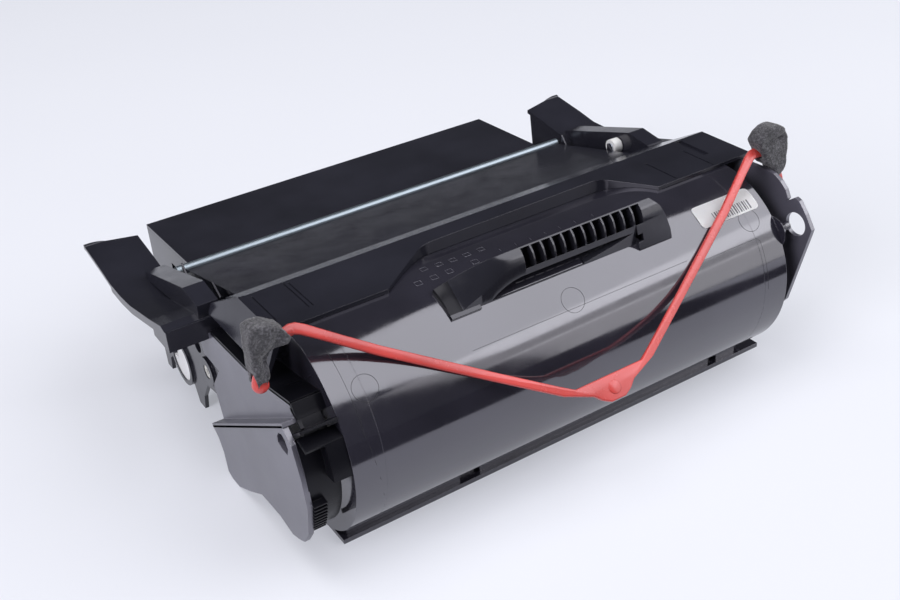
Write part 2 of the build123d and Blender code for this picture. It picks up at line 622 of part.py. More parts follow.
def side_cover_right():
    """Right side plate whose front ear stands past the hopper, with a hole for the hopper's locating pin."""
    plate = poly(*EAR_OUTLINE) - disc(EAR_HOLE, EAR_HOLE_R)
    ear = slab(plate, EAR_X, EAR_X + EAR_T)
    ear -= rod(DRUM, HUB_RING_R + 4, EAR_X - 1, EAR_X + EAR_T + 1)
    for centre in ((20, 44), (30, -30), (-24, -30)):
        ear += rod(centre, 4.0, HOPPER_HALF, EAR_X)
    return ear


def tube(centre, outer, inner, x0, x1):
    return slab(disc(centre, outer) - disc(centre, inner), x0, x1)


def drum():
    return tube(DRUM, DRUM_R, DRUM_R - DRUM_WALL, -DRUM_HALF, DRUM_HALF)


HUB_DEPTH = 8.0
NECK_R = 8.0


def drum_gear():
    """Gear, neck, plug and trunnion in one moulding, pressed into the left end of the drum."""
    body = gear(DRUM, DRUM_TEETH, 0.0, 1.5)
    body += tube(DRUM, NECK_R, 1.5, GEAR_IN, -DRUM_HALF)
    body += tube(DRUM, DRUM_R - DRUM_WALL - SEAT, 1.5, -DRUM_HALF, -DRUM_HALF + HUB_DEPTH)
    body += tube(DRUM, DRUM_R, 1.5, -DRUM_HALF - 1.5, -DRUM_HALF)
    body += tube(DRUM, TRUNNION_R, 1.5, -RING_OUT + 0.5, GEAR_OUT)
    return body


def drum_hub_right():
    body = tube(DRUM, DRUM_R - DRUM_WALL - SEAT, 1.5, DRUM_HALF - HUB_DEPTH, DRUM_HALF)
    body += tube(DRUM, DRUM_R, 1.5, DRUM_HALF, DRUM_HALF + 1.5)
    body += tube(DRUM, NECK_R, 1.5, DRUM_HALF, PLATE_IN - 0.8)
    body += tube(DRUM, TRUNNION_R, 1.5, PLATE_IN - 0.8, RING_OUT - 0.5)
    return body


def roller(centre, outer, shaft, half):
    return tube(centre, outer, shaft + SEAT, -half, half)


def geared_shaft(centre, radius):
    return rod(centre, radius, GEAR_OUT, HOPPER_HALF - 0.5)


def agitator_paddle():
    """Shaft with two opposite windowed blades that sweep the hopper."""
    paddle = geared_shaft(AXIS, ROLLER_SHAFT_R)
    reach = HOPPER_R - HOPPER_WALL - 5.0
    half = BAND_X - 6.0
    blade = block(-half, half, -0.8, 0.8, -reach, reach)
    for i in range(4):
        x0 = -half + 8 + i * (2 * half - 8) / 4
        for side in (-1, 1):
            blade -= block(x0, x0 + (2 * half - 8) / 4 - 8, -1, 1, side * (ROLLER_SHAFT_R + 6), side * (reach - 8))
    return paddle + blade


def waste_auger():
    """Screw that carries waste toner along its trough: a shaft with a helical flight."""
    shaft = rod(AUGER, SMALL_SHAFT_R, GEAR_OUT + 1, AUGER_HALF + 6.5)
    turns = (2 * AUGER_HALF - 12) / AUGER_PITCH
    path = Helix(AUGER_PITCH, turns * AUGER_PITCH, AUGER_R - 3)
    start = path @ 0
    section = Plane(origin=start, x_dir=(1, 0, 0), z_dir=path % 0) * Rectangle(2 * (AUGER_R - 6), 1.4)
    flight = sweep(section, path=path, is_frenet=True)
    lay = Plane(origin=(-AUGER_HALF + 6, AUGER_Y, AUGER_Z), x_dir=(0, 1, 0), z_dir=(1, 0, 0))
    return shaft + lay * flight


def auger_gear():
    """White drive coupling of the auger, whose broad hub turns in the side frame's ring."""
    body = gear(AUGER, AUGER_TEETH, AUGER_PHASE, SMALL_SHAFT_R + SEAT)
    body += rod(AUGER, COUPLER_R, -RING_OUT + 0.6, GEAR_OUT)
    body -= block(-RING_OUT - 1, -RING_OUT + 2.6, AUGER_Y + 5, AUGER_Y + 20, AUGER_Z - 1.5, AUGER_Z + 4)
    return body


# Transport lock
LOCK_IN = HOPPER_R + ROLL_GAP
LOCK_GUSSET = 9.0
LOCK_BOSS_R = 5.0
LOCK_NOSE_R = 7.6
LOCK_NOSE = LOCK_APEX + 1.5    # middle of the rounded nose, measured up the plane
HOOK_Y = (-23.0, -16.0)
HOOK = [(133.5, 62.4), (146.5, 62.4), (149.2, 58.5), (148.8, 44), (152.2, 44), (152.9, 60), (148.5, 66.0),
        (133.5, 65.6)]
KNOB = (151.4, 42.0)
KNOB_R = 4.2


def lock_plane(height):
    normal = (0, -math.cos(rad(LOCK_ANGLE)), math.sin(rad(LOCK_ANGLE)))
    return Plane(origin=(0, normal[1] * height, normal[2] * height), x_dir=(1, 0, 0), z_dir=normal)


def transport_lock():
    """Removable strap: a flat V laid over the hopper, hooked down at both ends."""
    ux, uy = unit((0, LOCK_APEX), (LOCK_HALF, LOCK_TOP))
    half = LOCK_WIDTH / 2
    nx, ny = -uy * half, ux * half
    inner_apex = LOCK_APEX + half / ux
    gusset_x = LOCK_GUSSET * ux / uy
    foot = 7.0
    points = [(foot, LOCK_APEX + foot * uy / ux - half / ux), (LOCK_HALF - nx, LOCK_TOP - ny), (LOCK_HALF + nx, LOCK_TOP + ny),
              (gusset_x, inner_apex + LOCK_GUSSET)]
    mirrored = [(-x, y) for x, y in reversed(points)]
    outline = poly(*(points + mirrored)) + Pos(0, LOCK_NOSE) * Circle(LOCK_NOSE_R)
    strap = extrude(lock_plane(LOCK_IN) * outline, amount=LOCK_T)
    strap += extrude(lock_plane(LOCK_IN) * (Pos(0, LOCK_APEX + 2) * Circle(LOCK_BOSS_R)), amount=LOCK_T + 0.5)
    bar = extrude(Plane.XZ.offset(-HOOK_Y[1]) * poly(*HOOK), amount=HOOK_Y[1] - HOOK_Y[0])
    knob = Pos(KNOB[0], sum(HOOK_Y) / 2, KNOB[1]) * Sphere(KNOB_R)
    end = bar + knob
    return strap + end + mirror(end, about=Plane.YZ)


FOAM_LEFT = [(139, 64.2), (139, 71.0), (149.5, 71.3), (155.0, 67.5), (156.8, 60), (156.8, 38), (151, 38), (151, 62),
             (146, 64.2)]
FOAM_LEFT_Y = (-28.0, -8.0)
FOAM_RIGHT = [(138, 64.2), (139.5, 74), (145.5, 79), (151.5, 77.5), (155.5, 70), (156.2, 55), (151, 55), (151, 62),
              (146, 64.2)]
FOAM_RIGHT_Y = (-28.0, -13.0)


def foam_pad(side, outline, span):
    """Felt pad folded over the hook at one end of the lock."""
    across = Plane.XZ.offset(-span[1])
    pad = extrude(across * poly(*[(side * x, z) for x, z in outline]), amount=span[1] - span[0])
    hook = poly(*[(side * x, z) for x, z in HOOK])
    return pad - extrude(across * hook, amount=span[1] - span[0])


def foam_pad_left():
    slant = slab(poly((FOAM_LEFT_Y[1], 40), (FOAM_LEFT_Y[0], 57), (FOAM_LEFT_Y[0], 30), (FOAM_LEFT_Y[1], 30)),
                 -160, -150)
    return foam_pad(-1, FOAM_LEFT, FOAM_LEFT_Y) - slant


def foam_pad_right():
    return foam_pad(1, FOAM_RIGHT, FOAM_RIGHT_Y)


LABEL_X = (88.0, 128.0)
LABEL_ANGLES = (50.0, 64.4)
LABEL_T = 0.25


def label():
    ring = Circle(HOPPER_R + SEAT + LABEL_T) - Circle(HOPPER_R + SEAT)
    far = HOPPER_R + 20
    wedge = poly((0, 0), polar(AXIS, far, 180 - LABEL_ANGLES[0]), polar(AXIS, far, 180 - LABEL_ANGLES[1]))
    return slab(ring & wedge, *LABEL_X)


def doctor_blade():
    """Steel strip that hangs from the throat's upper lip to the developer roller."""
    y = DEVELOPER[0] + 1.0
    return block(-DEVELOPER_HALF, DEVELOPER_HALF, y, y + 1.2, DEVELOPER[1] + DEVELOPER_R + ROLL_GAP,
                 THROAT_LIP_HIGH_Z + 1.2)


NODES = {
    "hopper_housing": hopper_housing,
    "hopper_cap_left": hopper_cap_left,
    "hopper_cap_right": hopper_cap_right,
    "fill_plug": fill_plug,
    "carry_handle": carry_handle,
    "top_cover": top_cover,
    "drum_frame": drum_frame,
    "cleaning_blade": cleaning_blade,
    "blade_bracket": blade_bracket,
    "waste_box": waste_box,
    "waste_box_lid": waste_box_lid,
    "tie_rod": tie_rod,
    "side_frame_left": side_frame_left,
    "side_frame_right": side_frame_right,
    "roller_pin": roller_pin,
    "guide_roller": guide_roller,
    "side_cover_left": side_cover_left,
    "side_cover_right": side_cover_right,
    "drum": drum,
    "drum_gear": drum_gear,
    "drum_hub_right": drum_hub_right,
    "charge_roller": lambda: roller(CHARGE, CHARGE_R, SMALL_SHAFT_R, CHARGE_HALF),
    "charge_shaft": lambda: rod(CHARGE, SMALL_SHAFT_R, -AUGER_HALF - 8, AUGER_HALF + 8),
    "developer_roller": lambda: roller(DEVELOPER, DEVELOPER_R, ROLLER_SHAFT_R, DEVELOPER_HALF),
    "developer_shaft": lambda: geared_shaft(DEVELOPER, ROLLER_SHAFT_R),
    "developer_gear": lambda: gear(DEVELOPER, DEVELOPER_TEETH, DEVELOPER_PHASE, ROLLER_SHAFT_R + SEAT),
    "adder_roller": lambda: roller(ADDER, ADDER_R, ROLLER_SHAFT_R, ADDER_HALF),
    "adder_shaft": lambda: geared_shaft(ADDER, ROLLER_SHAFT_R),
    "adder_gear": lambda: gear(ADDER, ADDER_TEETH, ADDER_PHASE, ROLLER_SHAFT_R + SEAT),
    "agitator_paddle": agitator_paddle,
    "agitator_gear": lambda: gear(AXIS, AGITATOR_TEETH, AGITATOR_PHASE, ROLLER_SHAFT_R + SEAT),
    "agitator_idler": lambda: gear(AGITATOR_IDLER, AGITATOR_IDLER_TEETH, AGITATOR_IDLER_PHASE, SMALL_SHAFT_R + RUN_FIT),
    "auger_idler": lambda: gear(AUGER_IDLER, AUGER_IDLER_TEETH, AUGER_IDLER_PHASE, SMALL_SHAFT_R + RUN_FIT),
    "waste_auger": waste_auger,
    "auger_gear": auger_gear,
    "doctor_blade": doctor_blade,
    "transport_lock": transport_lock,
    "foam_pad_left": foam_pad_left,
    "foam_pad_right": foam_pad_right,
    "label": label,
}

# The rounded nose of the lock reaches furthest forward
FRONT_Y = -(LOCK_IN + LOCK_T) * math.cos(rad(LOCK_ANGLE)) + (LOCK_NOSE - LOCK_NOSE_R) * math.sin(rad(LOCK_ANGLE))
PLACE = Pos(0, -(FRONT_Y + REAR_Y) / 2, AXIS_HEIGHT)

os.makedirs("parts", exist_ok=True)
for node, make in NODES.items():
    export_step(PLACE * make(), "parts/" + node + ".step")
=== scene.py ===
import bpy
import bmesh
import math
from mathutils import Matrix, Vector, noise


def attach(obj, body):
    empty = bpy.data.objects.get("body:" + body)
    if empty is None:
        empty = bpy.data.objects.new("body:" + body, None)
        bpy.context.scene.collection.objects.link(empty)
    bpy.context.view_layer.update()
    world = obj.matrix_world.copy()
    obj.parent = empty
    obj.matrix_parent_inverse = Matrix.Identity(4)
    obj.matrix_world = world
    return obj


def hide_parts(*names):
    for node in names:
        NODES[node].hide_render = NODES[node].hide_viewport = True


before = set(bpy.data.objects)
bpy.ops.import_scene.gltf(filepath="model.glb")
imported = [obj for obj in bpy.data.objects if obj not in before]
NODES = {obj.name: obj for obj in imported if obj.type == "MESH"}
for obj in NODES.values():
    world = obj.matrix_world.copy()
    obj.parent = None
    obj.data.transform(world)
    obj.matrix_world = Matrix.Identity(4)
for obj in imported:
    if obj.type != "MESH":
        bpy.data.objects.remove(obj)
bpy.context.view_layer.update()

# Everything is placed about the hopper's axis: X along the cartridge, Y to the rear, Z up, in millimetres
AXIS_Y = -72.891
AXIS_Z = 56.0
HOPPER_R = 54.0


def at(x, y, z):
    """A point given in millimetres about the hopper's axis, in metres in the model's frame."""
    return Vector((x / 1000, (y + AXIS_Y) / 1000, (z + AXIS_Z) / 1000))


# Materials
NOISE_LOW = 0.3         # most of a noise texture's values lie between these two
NOISE_HIGH = 0.7
COOL = (0.94, 0.925, 1.0, 1.0)


class Maker:
    """A material, with short calls that build its nodes."""

    def __init__(self, name):
        self.mat = bpy.data.materials.new(name)
        self.mat.use_nodes = True
        self.tree = self.mat.node_tree
        self.bsdf = self.tree.nodes["Principled BSDF"]

    def node(self, kind, **settings):
        n = self.tree.nodes.new(kind)
        for key, value in settings.items():
            setattr(n, key, value)
        return n

    def link(self, a, b):
        self.tree.links.new(a, b)

    def coords(self, scale=(1, 1, 1)):
        tex = self.node("ShaderNodeTexCoord")
        mapping = self.node("ShaderNodeMapping")
        mapping.inputs["Scale"].default_value = scale
        self.link(tex.outputs["Object"], mapping.inputs["Vector"])
        return mapping.outputs["Vector"]

    def noise(self, scale, detail=4.0, roughness=0.55, vector=None):
        n = self.node("ShaderNodeTexNoise")
        n.inputs["Scale"].default_value = scale
        n.inputs["Detail"].default_value = detail
        n.inputs["Roughness"].default_value = roughness
        self.link(vector if vector else self.coords(), n.inputs["Vector"])
        return n.outputs["Fac"]

    def ramp(self, value, *stops):
        """Colour by value. A stop is a place and its colour."""
        r = self.node("ShaderNodeValToRGB")
        elements = r.color_ramp.elements
        while len(elements) < len(stops):
            elements.new(0.5)
        for e, (place, colour) in zip(elements, stops):
            e.position = place
            e.color = (*colour, 1)
        self.link(value, r.inputs["Fac"])
        return r.outputs["Color"]

    def blend(self, value, low, high):
        """Colour that runs from low to high over a noise."""
        return self.ramp(value, (NOISE_LOW, low), (NOISE_HIGH, high))

    def span(self, value, low, high):
        """Number that runs from low to high over a noise."""
        m = self.node("ShaderNodeMapRange")
        for key, v in (("From Min", NOISE_LOW), ("From Max", NOISE_HIGH), ("To Min", low), ("To Max", high)):
            m.inputs[key].default_value = v
        self.link(value, m.inputs["Value"])
        return m.outputs["Result"]

    def greater(self, a, b):
        n = self.node("ShaderNodeMath", operation="MAXIMUM")
        self.link(a, n.inputs[0])
        self.link(b, n.inputs[1])
        return n.outputs[0]

    def bump(self, height, strength, distance, normal=None):
        b = self.node("ShaderNodeBump")
        b.inputs["Strength"].default_value = strength
        b.inputs["Distance"].default_value = distance
        self.link(height, b.inputs["Height"])
        if normal:
            self.link(normal, b.inputs["Normal"])
        return b.outputs["Normal"]

    def rounded(self, radius):
        b = self.node("ShaderNodeBevel")
        b.samples = 4
        b.inputs["Radius"].default_value = radius
        return b.outputs["Normal"]


def moulded(name, colour, rough, spread=0.05, grain=0.0, wave=0.0, edge=0.0004, ior=1.5):
    """Moulded plastic: uneven gloss, a fine grain, slow waves from the mould and softened edges."""
    m = Maker(name)
    dark = tuple(c * 0.8 for c in colour)
    light = tuple(min(1, c * 1.25) for c in colour)
    m.link(m.blend(m.noise(22.0, 3.0), dark, light), m.bsdf.inputs["Base Color"])
    smudge = m.noise(60.0, 6.0, 0.7)
    m.link(m.span(smudge, max(0.02, rough - spread), rough + spread), m.bsdf.inputs["Roughness"])
    m.bsdf.inputs["IOR"].default_value = ior
    m.bsdf.inputs["Specular Tint"].default_value = COOL
    normal = m.rounded(edge) if edge else None
    if wave:
        normal = m.bump(m.noise(9.0, 2.0, 0.4), 1.0, wave, normal)
    if grain:
        normal = m.bump(m.noise(1400.0, 2.0, 0.5), 0.6, grain, normal)
    if normal:
        m.link(normal, m.bsdf.inputs["Normal"])
    return m.mat


def metal(name, colour, rough):
    """Metal ground along X, with softened edges."""
    m = Maker(name)
    brushed = m.noise(60.0, 4.0, 0.6, m.coords((1, 60, 60)))
    m.link(m.blend(brushed, tuple(c * 0.85 for c in colour), colour), m.bsdf.inputs["Base Color"])
    m.link(m.span(brushed, rough - 0.06, rough + 0.08), m.bsdf.inputs["Roughness"])
    m.bsdf.inputs["Metallic"].default_value = 1.0
    m.link(m.bump(brushed, 0.3, 0.00003, m.rounded(0.0003)), m.bsdf.inputs["Normal"])
    return m.mat


def foam_material():
    """Open-celled foam: dark flecks and light fibre ends over a deep charcoal, with a soft sheen."""
    m = Maker("felt_foam")
    cells = m.noise(900.0, 6.0, 0.75)
    blotch = m.noise(110.0, 3.0, 0.6)
    fleck = m.ramp(cells, (0.36, (0.018, 0.017, 0.020)), (0.50, (0.060, 0.058, 0.066)),
                   (0.68, (0.19, 0.185, 0.20)))
    mix = m.node("ShaderNodeMixRGB", blend_type="MULTIPLY")
    mix.inputs["Fac"].default_value = 1.0
    m.link(fleck, mix.inputs["Color1"])
    m.link(m.blend(blotch, (0.75, 0.75, 0.75), (1.15, 1.15, 1.17)), mix.inputs["Color2"])
    m.link(mix.outputs["Color"], m.bsdf.inputs["Base Color"])
    m.link(m.span(cells, 0.75, 0.98), m.bsdf.inputs["Roughness"])
    m.bsdf.inputs["Sheen Weight"].default_value = 0.35
    m.bsdf.inputs["Sheen Roughness"].default_value = 0.4
    m.link(m.bump(cells, 1.0, 0.0005), m.bsdf.inputs["Normal"])
    return m.mat


GLOSS = moulded("black_gloss", (0.019, 0.018, 0.026), 0.11, 0.04, wave=0.0003, ior=2.0)
GRIP = moulded("black_grip", (0.014, 0.014, 0.019), 0.17, 0.05, wave=0.0001, edge=0.0003, ior=1.6)
SATIN = moulded("black_satin", (0.017, 0.017, 0.024), 0.17, 0.05, grain=0.00001, wave=0.0002, ior=1.52)
# Grey base lifted above the black plastic: painted reflection of the pale floor, as the real covers are
# black; the high IOR gives their real gloss
SIDE = moulded("black_side", (0.072, 0.070, 0.090), 0.32, 0.02, wave=0.0001, ior=2.2)
# Near-black with weak gloss: painted shade for the cover's pocket, the grip's slot walls and the foot's end
SHADE_BLACK = moulded("black_painted_shade", (0.004, 0.004, 0.006), 0.30, 0.05, ior=1.3)
WHITE = moulded("white_moulding", (0.82, 0.81, 0.80), 0.42, 0.06)
NATURAL = moulded("gear_moulding", (0.74, 0.73, 0.68), 0.45, 0.06)
GREY = moulded("grey_moulding", (0.3, 0.3, 0.31), 0.45)
RED = moulded("red_moulding", (0.54, 0.058, 0.050), 0.26, 0.05, edge=0.0005, ior=1.6)
RUBBER = moulded("roller_rubber", (0.035, 0.035, 0.037), 0.55)
AMBER = moulded("blade_rubber", (0.55, 0.33, 0.10), 0.35)
STEEL = metal("ground_steel", (0.66, 0.70, 0.78), 0.18)
ROD = metal("dull_rod", (0.33, 0.38, 0.43), 0.42)
SPRING = metal("rolled_steel", (0.55, 0.56, 0.58), 0.28)
COATING = moulded("drum_coating", (0.05, 0.22, 0.26), 0.10, 0.02, edge=0.0)
PAPER = moulded("label_paper", (0.98, 0.98, 1.0), 0.32, edge=0.0, ior=1.7)
INK = moulded("label_ink", (0.10, 0.10, 0.12), 0.5, edge=0.0)
SEAM = moulded("seam_shadow", (0.012, 0.012, 0.014), 0.5, edge=0.0)
FOAM = foam_material()

FINISH = {
    GLOSS: ["hopper_housing", "hopper_cap_left", "hopper_cap_right", "fill_plug"],
    GRIP: ["carry_handle"],
    SATIN: ["top_cover", "drum_frame", "waste_box", "waste_box_lid", "side_frame_left", "side_frame_right"],
    SIDE: ["side_cover_left", "side_cover_right"],
    WHITE: ["guide_roller", "auger_gear"],
    NATURAL: ["drum_gear", "drum_hub_right", "developer_gear", "adder_gear", "agitator_gear",
              "agitator_idler", "auger_idler", "waste_auger"],
    GREY: ["agitator_paddle"],
    RED: ["transport_lock"],
    RUBBER: ["charge_roller", "developer_roller", "adder_roller"],
    AMBER: ["cleaning_blade"],
    STEEL: ["tie_rod", "roller_pin", "charge_shaft", "developer_shaft", "adder_shaft"],
    SPRING: ["doctor_blade", "blade_bracket"],
    COATING: ["drum"],
    FOAM: ["foam_pad_left", "foam_pad_right"],
    PAPER: ["label"],
}
for material, names in FINISH.items():
    for name in names:
        for s in NODES[name].material_slots:
            s.material = material


def place(name, mesh, material, slot, body="frame"):
    """Link a finished mesh or curve as a piece that rides on a body."""
    piece = bpy.data.objects.new(name, mesh)
    bpy.context.scene.collection.objects.link(piece)
    if not piece.data.materials:
        piece.data.materials.append(material)
    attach(piece, body)
    return piece


# Mesh helpers: outlines are in millimetres about the hopper's axis
def loft(bm, rings, slot=0):
    """Closed skin through rings that have the same number of points."""
    loops = [[bm.verts.new(p) for p in ring] for ring in rings]
    count = len(loops[0])
    faces = [bm.faces.new(loops[0][::-1]), bm.faces.new(loops[-1])]
    for low, high in zip(loops, loops[1:]):
        for k in range(count):
            faces.append(bm.faces.new((low[k], low[(k + 1) % count], high[(k + 1) % count], high[k])))
    for f in faces:
        f.material_index = slot


def prism(bm, outline, x0, x1, slot=0):
    """Solid with an outline in the Y-Z plane, from x0 to x1."""
    loft(bm, [[at(x, y, z) for y, z in outline] for x in (x0, x1)], slot)


def plate(bm, outline, y0, y1, rise=0.0):
    """Solid with an outline in the X-Z plane, from y0 to y1. It rises by so much per millimetre."""
    loft(bm, [[at(x, y, z + rise * (y - y0)) for x, z in outline] for y in (y0, y1)])


def bar(bm, start, end, thickness, x0, x1, slot=0):
    """Flat strip seen edge-on between two points of the Y-Z plane."""
    (y0, z0), (y1, z1) = start, end
    length = math.hypot(y1 - y0, z1 - z0)
    ny, nz = -(z1 - z0) / length * thickness / 2, (y1 - y0) / length * thickness / 2
    prism(bm, [(y0 + ny, z0 + nz), (y1 + ny, z1 + nz), (y1 - ny, z1 - nz), (y0 - ny, z0 - nz)], x0, x1, slot)


def tube(bm, points, radii, steps=14):
    """Round tapering bar through points in metres."""
    rings = []
    for i, p in enumerate(points):
        along = (points[min(i + 1, len(points) - 1)] - points[max(i - 1, 0)]).normalized()
        side = along.cross(Vector((0, 1, 0))).normalized()
        across = along.cross(side)
        r = radii[i] / 1000
        turns = [k * math.tau / steps for k in range(steps)]
        rings.append([p + r * (math.cos(t) * side + math.sin(t) * across) for t in turns])
    loft(bm, rings)


def egg(bm, centre, width, rise, steps=20, layers=12):
    """Egg that stands on its blunt end."""
    rings = []
    for j in range(layers + 1):
        t = -1 + 2 * j / layers
        t = math.sin(t * math.pi / 2) * 0.998
        r = width * math.sqrt(1 - t * t) * (1 - 0.28 * max(0, t)) / 1000
        z = t * (rise if t > 0 else width) / 1000
        turns = [k * math.tau / steps for k in range(steps)]
        rings.append([centre + Vector((r * math.cos(a), r * math.sin(a), z)) for a in turns])
    loft(bm, rings)


def sector(r0, r1, a0, a1, steps=16):
    """Outline of a ring's sector between two angles measured from the front towards up."""
    angles = [math.radians(a0 + (a1 - a0) * k / steps) for k in range(steps + 1)]
    outer = [(-r1 * math.cos(t), r1 * math.sin(t)) for t in angles]
    inner = [(-r0 * math.cos(t), r0 * math.sin(t)) for t in reversed(angles)]
    return outer + inner


def circle(radius, steps=160):
    turns = [k * math.tau / steps for k in range(steps)]
    return [(radius * math.cos(t), radius * math.sin(t)) for t in turns]


def finished(bm, name):
    """Turn a bmesh into a mesh whose faces all look outwards."""
    bmesh.ops.recalc_face_normals(bm, faces=bm.faces[:])
    mesh = bpy.data.meshes.new(name)
    bm.to_mesh(mesh)
    bm.free()
    return mesh


def solid(build, *measures):
    """Mesh of the one shape that a build function draws."""
    bm = bmesh.new()
    build(bm, *measures)
    return finished(bm, "solid")


def loose(mesh):
    """A passing object that carries a mesh."""
    shape = bpy.data.objects.new("loose", mesh)
    bpy.context.scene.collection.objects.link(shape)
    return shape


def baked(shape):
    """The mesh that a passing object's modifiers make. The object is dropped."""
    mesh = bpy.data.meshes.new_from_object(shape.evaluated_get(bpy.context.evaluated_depsgraph_get()))
    bpy.data.objects.remove(shape)
    return mesh


def combined(mesh, other, operation):
    """The result of a boolean between two meshes."""
    first = loose(mesh)
    second = loose(other)
    change = first.modifiers.new("change", "BOOLEAN")
    change.operation = operation
    change.solver = "EXACT"
    change.use_self = True
    change.object = second
    result = baked(first)
    bpy.data.objects.remove(second)
    return result


def crisp(mesh, angle):
    """Smooth shading that breaks at edges sharper than an angle."""
    for polygon in mesh.polygons:
        polygon.use_smooth = True
    mesh.set_sharp_from_angle(angle=math.radians(angle))


# Carry handle. A station is x, front edge's height, swell, crest and back of the grip's section
GRIP_FRONT = -29.4
GRIP_UNDER = (-14.7, 46)
GRIP_SKIRT = 12         # the grip's front reaches down by this much below its edge
GRIP_EDGE = (GRIP_FRONT, 56.6)
GRIP_CREST = (-24.3, 65.1)
STATIONS = [
    (-62.5, 46.2, (-23.2, 50.9), (-15.5, 54.2), (-14.6, 53.2)),
    (-55.7, 47.0, (-23.1, 52.3), (-17.0, 56.9), (-14.8, 55.2)),
    (-47.5, 50.2, (-25.1, 55.9), (-20.0, 60.6), (-15.6, 57.2)),
    (-39.3, 52.8, (-26.5, 58.6), (-22.2, 63.3), (-16.9, 58.8)),
    (-31.0, 55.0, (-27.6, 60.8), (-24.2, 64.9), (-18.2, 59.7)),
    (-20.0, 56.6, (-27.6, 61.9), GRIP_CREST, (-18.3, 59.8)),
    (69.0, 56.6, (-27.6, 61.9), GRIP_CREST, (-18.3, 59.8)),
]
CURVED = 5              # stations up to this one are joined by a smooth curve, in so many parts each
CURVE_PARTS = 4
ARC_PARTS = 8
CUT_FRONT = -40         # cuts through the handle run from here
CUT_BACK = -8           # to here
SEAT_R = HOPPER_R + 0.02
SEAT_X = (-72, 72)
BRACE = [GRIP_EDGE, (GRIP_FRONT - 3.5, 43.2), (-20, 40), (-20, 56)]
BRACE_X = (47.4, 68.2)
SILL = [(GRIP_FRONT, 30), (GRIP_FRONT, 45.8), (GRIP_FRONT + 1.6, 45.8), (GRIP_FRONT + 1.6, 30)]
SILL_X = (-44, 15)
END_CUT = [(57.5, 72), (58.5, 66), (63.5, 61.5), (66.3, 56), (68.2, 48), (68.4, 38), (80, 38), (80, 72)]
FINGER_GAP = [(-40, 28), (-39, 45.4), (-36, 47.6), (-31, 49.8), (-27, 51.0), (-22, 51.7), (30, 51.7),
              (38, 51.6), (45.5, 51.2), (38, 49.4), (27, 47.4), (15, 45.6), (15, 28)]
GAP_RISE = 0.387        # the gap climbs by this much for each millimetre to the rear
FOOT = sector(HOPPER_R - 2, HOPPER_R + 1.2, 55.6, 74.0)
FOOT_X = (-62.8, -46.4)
FOOT_SHADE_X = -55.5     # the foot takes the painted-shade material up to here
NOTCH = [(GRIP_FRONT - 4, 47.2), (GRIP_FRONT - 4, 51.0), (GRIP_FRONT + 1.2, 51.0), (GRIP_FRONT + 1.2, 47.2)]
NOTCH_X = (47.4, 50.6)
SLOT_FIRST = -19.7
SLOT_LAST = 53.0
SLOTS = 12
SLOT_WALL = 1.0
SLOT_RIM = 0.8          # how far both ends of a slot are moved down the sloping face
SLOT_LOW_DEPTH = 4.6
SLOT_HIGH_DEPTH = 2.7
SLOT_OVER = 5.0         # the cutting shapes stand out this far over the face


def grip_ring(x, edge, swell, crest, back):
    """Section of the grip at x: an arc from the front edge to the crest, closed round the back."""
    front = (GRIP_FRONT, edge)
    bend = [2 * s - (f + c) / 2 for s, f, c in zip(swell, front, crest)]
    arc = []
    for k in range(ARC_PARTS + 1):
        t = k / ARC_PARTS
        arc.append([(1 - t) ** 2 * f + 2 * t * (1 - t) * b + t * t * c
                    for f, b, c in zip(front, bend, crest)])
    return [at(x, y, z) for y, z in arc + [back, GRIP_UNDER, (GRIP_FRONT, edge - GRIP_SKIRT)]]


def between(p, q, r, s, t):
    """A point on the smooth curve from q to r."""
    return 0.5 * (2 * q + (r - p) * t + (2 * p - 5 * q + 4 * r - s) * t * t
                  + (3 * q - p - 3 * r + s) * t ** 3)


